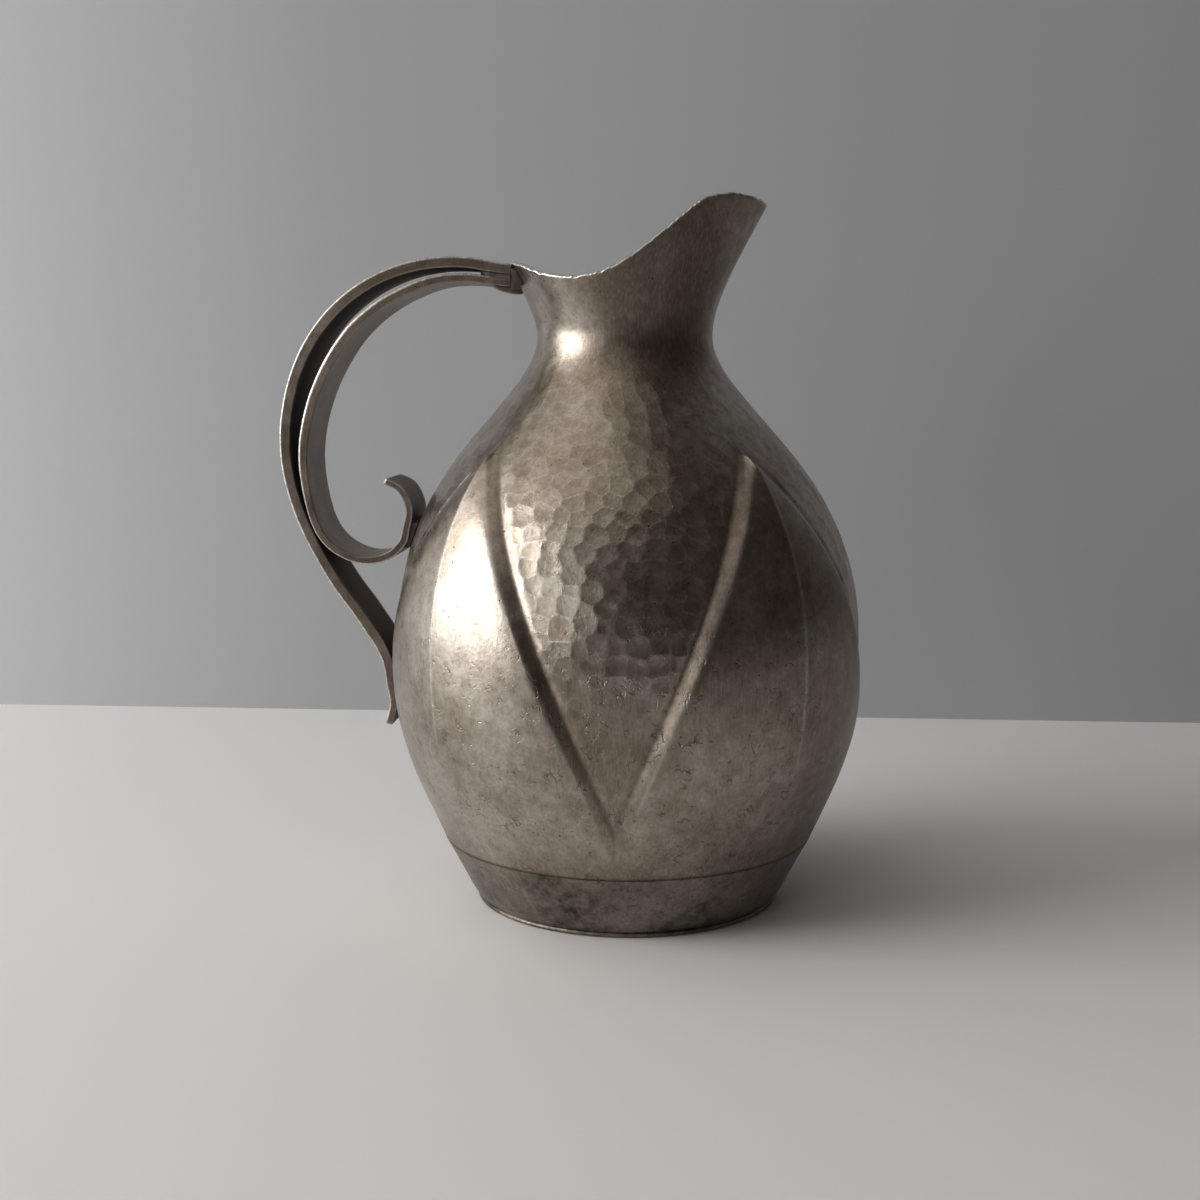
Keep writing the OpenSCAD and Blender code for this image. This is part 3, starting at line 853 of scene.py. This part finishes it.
def make_body_run(name, knots, thick, rest_z, material, seed):
    """The solder between the body and the face of a strap that rests on it."""
    line = smooth_line(knots, STRAP_STEPS)
    face = line + sideways(line) * (thick / 2)
    near_rest = np.abs(face[:, 1] - rest_z) < BODY_RUN_H
    close = near_rest & (face[:, 0] > face[near_rest, 0].max() - 8)
    order = np.argsort(face[close, 1])
    table = face[close][order]
    sections = []
    for y in np.linspace(-BODY_RUN_HALF, BODY_RUN_HALF, BODY_RUN_STEPS) * STRAP_W:
        heights = np.linspace(rest_z - BODY_RUN_H / 2, rest_z + BODY_RUN_H / 2, 8)
        near = [[body_face_x(y, z) - NEAR_GAP, y, z] for z in heights]
        far = [[np.interp(z, table[:, 1], table[:, 0]) + FAR_GAP, y, z] for z in heights[::-1]]
        sections.append(near + far)
    make_run(name, sections, material, 0.03, seed)


# Materials

RUBBED_AND_HIGHLIGHT_COLOUR = (0.8, 0.77, 0.72, 1)
GRIME_AND_SHADE_COLOUR = (0.07, 0.058, 0.048, 1)
PIT_COLOUR = (0.03, 0.025, 0.02, 1)
NICK_COLOUR = (0.05, 0.04, 0.03, 1)
MM_PER_METRE = 1000
CLOUD_SIZE = 26
MOTTLE_SIZE = 4.2
SPECK_SIZE = 1.1
BRUSH_SIZE = 0.55
PITS_PER_MM = 0.36
TONE_LIGHTER = 0.045
TONE_SMOOTHER = 0.035
RELIEF_M = 0.00011


def put(tree, kind, values=(), **settings):
    """A shader node with its settings; each value is an output to link, or a number to set."""
    made = tree.nodes.new(kind)
    for key, value in settings.items():
        setattr(made, key, value)
    for socket, value in zip(made.inputs, values):
        if isinstance(value, bpy.types.NodeSocket):
            tree.links.new(value, socket)
        else:
            socket.default_value = value
    return made


def blend(tree, share, a, b):
    """The colour between a and b."""
    made = tree.nodes.new("ShaderNodeMix")
    made.data_type = "RGBA"
    for socket, value in ((made.inputs[0], share), (made.inputs[6], a), (made.inputs[7], b)):
        if isinstance(value, bpy.types.NodeSocket):
            tree.links.new(value, socket)
        else:
            socket.default_value = value
    return made.outputs[2]


def math_of(tree, operation, *values):
    """The output of a shader's node for sums."""
    return put(tree, "ShaderNodeMath", values, operation=operation).outputs[0]


def times(tree, product, *others):
    """All the values multiplied together."""
    for other in others:
        product = math_of(tree, "MULTIPLY", product, other)
    return product


def made_of(tree, start, *parts):
    """The start with each part added; a part is a value and its weight, which may be below zero."""
    for value, weight in parts:
        start = math_of(tree, "ADD", start, times(tree, value, weight))
    return start


def place_in(tree):
    """The place on the object, in metres."""
    return tree.nodes.new("ShaderNodeTexCoord").outputs["Object"]


def stepped(tree, value, low, high, to_low=0.0, to_high=1.0):
    """value brought from one range to another, held at its ends."""
    made = put(tree, "ShaderNodeMapRange", (value, low, high, to_low, to_high))
    made.clamp = True
    return made.outputs[0]


def noise(tree, place, size, detail=3.0, rough=0.55):
    """Noise with features of about this size in millimetres."""
    made = tree.nodes.new("ShaderNodeTexNoise")
    tree.links.new(place, made.inputs["Vector"])
    made.inputs["Scale"].default_value = 1 / size
    made.inputs["Detail"].default_value = detail
    made.inputs["Roughness"].default_value = rough
    return made.outputs["Fac"]


def stretched(tree, place, factors):
    """The place with each of its parts multiplied by its own factor."""
    return put(tree, "ShaderNodeVectorMath", (place, factors), operation="MULTIPLY").outputs[0]


def round_pits(tree, here):
    """Small round pits, in patches."""
    cell = tree.nodes.new("ShaderNodeTexVoronoi")
    tree.links.new(here, cell.inputs["Vector"])
    cell.inputs["Scale"].default_value = PITS_PER_MM
    spot = stepped(tree, cell.outputs["Distance"], 0.06, 0.13, 1.0, 0.0)
    patches = stepped(tree, noise(tree, here, 9, 2), 0.5, 0.62)
    return times(tree, spot, patches)


def short_nicks(tree, here):
    """Short thin scratches, most of them low down."""
    swirl = noise(tree, here, 3.4, 2, 0.5)
    contour = math_of(tree, "ABSOLUTE", math_of(tree, "SUBTRACT", swirl, 0.5))
    thin = stepped(tree, contour, 0.015, 0.03, 1.0, 0.0)
    short = stepped(tree, noise(tree, here, 5.5, 4, 0.7), 0.54, 0.6)
    height = put(tree, "ShaderNodeSeparateXYZ", (here,)).outputs[2]
    low_down = stepped(tree, height, 60, 105, 1.0, 0.1)
    return times(tree, thin, short, low_down)


def pewter(name, dark, middle, light, rough, pitted, brushed):
    """Old pewter: brown patina in clouds and mottles, bright where rubbed and with painted highlights,
    dark with painted shade in grooves and recesses, and dark in pits.
    """
    made = bpy.data.materials.new(name)
    made.use_nodes = True
    tree = made.node_tree
    shader = tree.nodes["Principled BSDF"]
    shader.inputs["Metallic"].default_value = 1.0
    shader.inputs["Anisotropic"].default_value = 0.0
    wear, grime, tone = [
        put(tree, "ShaderNodeAttribute", attribute_name=key).outputs["Fac"]
        for key in ("wear", "grime", "tone")
    ]
    here = stretched(tree, place_in(tree), (MM_PER_METRE,) * 3)
    clouds = noise(tree, here, CLOUD_SIZE, 4)
    mottle = noise(tree, here, MOTTLE_SIZE, 6, 0.65)
    specks = noise(tree, here, SPECK_SIZE, 4, 0.7)
    lines = noise(tree, stretched(tree, here, (1, 1, 0.1)), BRUSH_SIZE, 3, 0.6)
    wear_and_sheen_mask = times(tree, wear, stepped(tree, specks, 0.35, 0.62, 0.25, 1.0))
    pits = times(tree, round_pits(tree, here), pitted)
    nicks = times(tree, short_nicks(tree, here), pitted)

    shade = made_of(tree, times(tree, clouds, 0.5), (mottle, 0.5), (tone, TONE_LIGHTER))
    colour = blend(tree, stepped(tree, shade, 0.36, 0.5), dark, middle)
    colour = blend(tree, stepped(tree, shade, 0.5, 0.66), colour, light)
    colour = blend(tree, times(tree, stepped(tree, lines, 0.45, 0.7), brushed), colour, light)
    colour = blend(tree, stepped(tree, specks, 0.45, 0.75, 0.0, 0.55), colour, dark)
    # Rubbed places and painted highlights on ridges, edges and corners
    colour = blend(tree, wear_and_sheen_mask, colour, RUBBED_AND_HIGHLIGHT_COLOUR)
    # Painted shade, and a little dirt over the solder
    colour = blend(tree, times(tree, grime, 0.75), colour, GRIME_AND_SHADE_COLOUR)
    colour = blend(tree, pits, colour, PIT_COLOUR)
    colour = blend(tree, times(tree, nicks, 0.45), colour, NICK_COLOUR)
    tree.links.new(colour, shader.inputs["Base Color"])

    haze = stepped(tree, mottle, 0.3, 0.7, rough - 0.03, rough + 0.04)
    haze = made_of(tree, haze, (tone, -TONE_SMOOTHER), (grime, 0.25), (wear_and_sheen_mask, -0.06))
    tree.links.new(haze, shader.inputs["Roughness"])

    height = times(tree, mottle, 0.5)
    height = made_of(tree, height, (specks, 0.6), (lines, 0.5 * brushed), (pits, -0.6), (nicks, -0.9))
    relief = tree.nodes.new("ShaderNodeBump")
    relief.inputs["Strength"].default_value = 1.0
    relief.inputs["Distance"].default_value = RELIEF_M
    tree.links.new(height, relief.inputs["Height"])
    tree.links.new(relief.outputs["Normal"], shader.inputs["Normal"])
    return made


def plain(name, colour, rough):
    """One even colour without a pattern."""
    made = bpy.data.materials.new(name)
    made.use_nodes = True
    shader = made.node_tree.nodes["Principled BSDF"]
    shader.inputs["Base Color"].default_value = (*colour, 1)
    shader.inputs["Roughness"].default_value = rough
    return made


# Stage, light and camera

# The wall stands where the photograph's wall does, and both planes reach far outside the picture
WALL_Y = 0.259
WALL_H = 2.4
HALF_ROOM = 3
FLOOR_COLOUR = (0.9, 0.9, 0.905)
FLOOR_SHADE_COLOUR = (0.12, 0.117, 0.115, 1)
BACKDROP_COLOUR = (0.385, 0.395, 0.415)
BACKDROP_PAINTED_LIGHT_COLOUR = (0.84, 0.85, 0.87, 1)

# The camera that was worked out for the photograph
CAMERA_PLACE = Vector((0.0287, -0.4944, 0.1609))
CAMERA_WAY = Vector((-0.0744, 0.9873, -0.1404))
FOCUS_PIXELS = 1643.34
FRAME_PIXELS = 1200
SENSOR = 36.0

# Lamps: places and sizes in metres, and the ceiling's power in watts for each metre of width
WINDOW = dict(place=(-1.405, -0.485, 0.62), target=(0, 0, 0.62), size=(1.1, 1.22))
FAR_WINDOW = dict(place=(-0.87, -1.44, 0.38), target=(0, 0, 0.12), size=(0.24, 0.6))
CEILING_LAMPS = 6
CEILING_LEFT = -2.2
CEILING_W = 1.3
CEILING_W_STEP = 0.3
CEILING_D = 2.3
CEILING_H = 1.5
CEILING_POWER = 1.0
CEILING_COLOUR = (1.0, 0.94, 0.86)
ROOM_COLOUR = (0.5, 0.43, 0.36, 1)
ROOM_STRENGTH = 0.1


def make_plane(name, corners, material):
    mesh = bpy.data.meshes.new(name)
    mesh.from_pydata(corners, [], [tuple(range(len(corners)))])
    mesh.materials.append(material)
    piece = bpy.data.objects.new(name, mesh)
    bpy.context.scene.collection.objects.link(piece)


def painted_wall_light(material, lightest):
    """Painted light: the wall is lighter towards the window, mostly outside the picture, but not right
    beside it.
    """
    tree = material.node_tree
    along = put(tree, "ShaderNodeSeparateXYZ", (place_in(tree),)).outputs[0]
    base = tree.nodes["Principled BSDF"].inputs["Base Color"]
    lit = stepped(tree, along, -0.85, -0.15, 1.0, 0.0)
    beside = stepped(tree, along, -1.4, -0.85, 1.0, 0.0)
    colour = blend(tree, math_of(tree, "SUBTRACT", lit, beside), tuple(base.default_value), lightest)
    tree.links.new(colour, base)
    return material


def see_through_from_behind(material):
    """Light and sight pass the material from its back, so that a view from behind shows the jug."""
    tree = material.node_tree
    behind = tree.nodes.new("ShaderNodeNewGeometry").outputs["Backfacing"]
    clear = tree.nodes.new("ShaderNodeBsdfTransparent").outputs[0]
    both = tree.nodes.new("ShaderNodeMixShader")
    for socket, value in zip(both.inputs, (behind, tree.nodes["Principled BSDF"].outputs[0], clear)):
        tree.links.new(value, socket)
    tree.links.new(both.outputs[0], tree.nodes["Material Output"].inputs["Surface"])
    return material


def painted_floor_shade(material, shade_colour):
    """Painted shade: the floor's colour falls off outside the picture, as in a room whose window lights
    one corner.
    """
    tree = material.node_tree
    along = put(tree, "ShaderNodeSeparateXYZ", (place_in(tree),)).outputs
    right = stepped(tree, along[0], 0.5, 1.0)
    left = stepped(tree, along[0], -1.2, -0.5, 0.7, 0.0)
    front = stepped(tree, along[1], -0.65, -0.22, 1.0, 0.0)
    away = math_of(tree, "MAXIMUM", math_of(tree, "MAXIMUM", left, right), front)
    base = tree.nodes["Principled BSDF"].inputs["Base Color"]
    colour = blend(tree, away, tuple(base.default_value), shade_colour)
    tree.links.new(colour, base)
    return material


def make_stage():
    left, right, near = -HALF_ROOM, HALF_ROOM, -HALF_ROOM
    paint = painted_floor_shade(plain("floor", FLOOR_COLOUR, 0.6), FLOOR_SHADE_COLOUR)
    corners = [(left, near, 0), (right, near, 0), (right, WALL_Y, 0), (left, WALL_Y, 0)]
    make_plane("floor", corners, paint)
    cloth = painted_wall_light(plain("backdrop", BACKDROP_COLOUR, 0.8), BACKDROP_PAINTED_LIGHT_COLOUR)
    corners = [(left, WALL_Y, 0), (right, WALL_Y, 0), (right, WALL_Y, WALL_H), (left, WALL_Y, WALL_H)]
    make_plane("backdrop", corners, see_through_from_behind(cloth))


def make_lamp(name, place, target, size, power, colour):
    data = bpy.data.lights.new(name, "AREA")
    data.shape = "RECTANGLE"
    data.size, data.size_y = size
    data.energy = power
    data.color = colour
    lamp = bpy.data.objects.new(name, data)
    lamp.location = place
    lamp.rotation_euler = (Vector(target) - Vector(place)).to_track_quat("-Z", "Y").to_euler()
    bpy.context.scene.collection.objects.link(lamp)


def make_light():
    """Two windows on the left, and a ceiling whose overlapping lamps dim it in steps to the right."""
    make_lamp("window", **WINDOW, power=21, colour=(1.0, 0.995, 0.985))
    make_lamp("far_window", **FAR_WINDOW, power=1.7, colour=(1.0, 0.98, 0.95))
    for k in range(CEILING_LAMPS):
        width = CEILING_W + CEILING_W_STEP * k
        middle = CEILING_LEFT + width / 2
        place, target = (middle, -0.35, CEILING_H), (middle * 0.6, -0.2, 0)
        size, power = (width, CEILING_D), CEILING_POWER * width
        make_lamp(f"ceiling_{k}", place, target, size, power, CEILING_COLOUR)
    world = bpy.data.worlds.new("room")
    world.use_nodes = True
    back = world.node_tree.nodes["Background"]
    back.inputs["Color"].default_value = ROOM_COLOUR
    back.inputs["Strength"].default_value = ROOM_STRENGTH
    bpy.context.scene.world = world


def make_camera():
    data = bpy.data.cameras.new("camera")
    data.sensor_width = SENSOR
    data.sensor_fit = "HORIZONTAL"
    data.lens = FOCUS_PIXELS / FRAME_PIXELS * SENSOR
    data.clip_start = 0.01
    camera = bpy.data.objects.new("camera", data)
    camera.location = CAMERA_PLACE
    camera.rotation_euler = CAMERA_WAY.to_track_quat("-Z", "Y").to_euler()
    bpy.context.scene.collection.objects.link(camera)
    bpy.context.scene.camera = camera


def make_jug():
    sheet = pewter(
        "hammered_pewter", dark=(0.19, 0.153, 0.118, 1), middle=(0.3, 0.255, 0.21, 1),
        light=(0.47, 0.425, 0.373, 1), rough=0.34, pitted=1.0, brushed=0.35,
    )
    foot = pewter(
        "foot_pewter", dark=(0.05, 0.043, 0.036, 1), middle=(0.22, 0.187, 0.153, 1),
        light=(0.32, 0.28, 0.24, 1), rough=0.42, pitted=1.0, brushed=0.1,
    )
    strap = pewter(
        "strap_pewter", dark=(0.13, 0.102, 0.08, 1), middle=(0.215, 0.174, 0.14, 1),
        light=(0.33, 0.28, 0.237, 1), rough=0.38, pitted=0.3, brushed=0.3,
    )
    solder = pewter(
        "solder", dark=(0.08, 0.07, 0.06, 1), middle=(0.2, 0.18, 0.16, 1),
        light=(0.34, 0.31, 0.28, 1), rough=0.5, pitted=0.4, brushed=0.0,
    )
    make_body(sheet)
    make_foot_band(foot)
    make_base_plate(foot)
    # The outer strap's face towards the hand gets full painted shade where it faces the inner strap
    make_strap("outer_strap", outer_knots(), OUTER_T, 0.72, (0.3, 0.4), (0, 0), 1.0, strap, 61)
    bulge = BULGE * np.array(INNER_GAP_SHARES)
    make_strap("inner_strap", inner_knots(), INNER_T, 0.75, (0.25, 0.25), bulge, 0, strap, 71)
    make_rim_solder(strap)
    make_strap_solder(strap)
    make_body_run("scroll_solder", inner_knots(), INNER_T, SCROLL_Z, solder, 81)
    make_body_run("tail_solder", outer_knots(), OUTER_T, TAIL_Z, solder, 91)
    for node in ("foot_solder", "base_solder"):
        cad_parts[node].data.materials.clear()
        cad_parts[node].data.materials.append(solder)


make_jug()
make_stage()
make_light()
make_camera()
bpy.context.scene.view_settings.view_transform = "Standard"
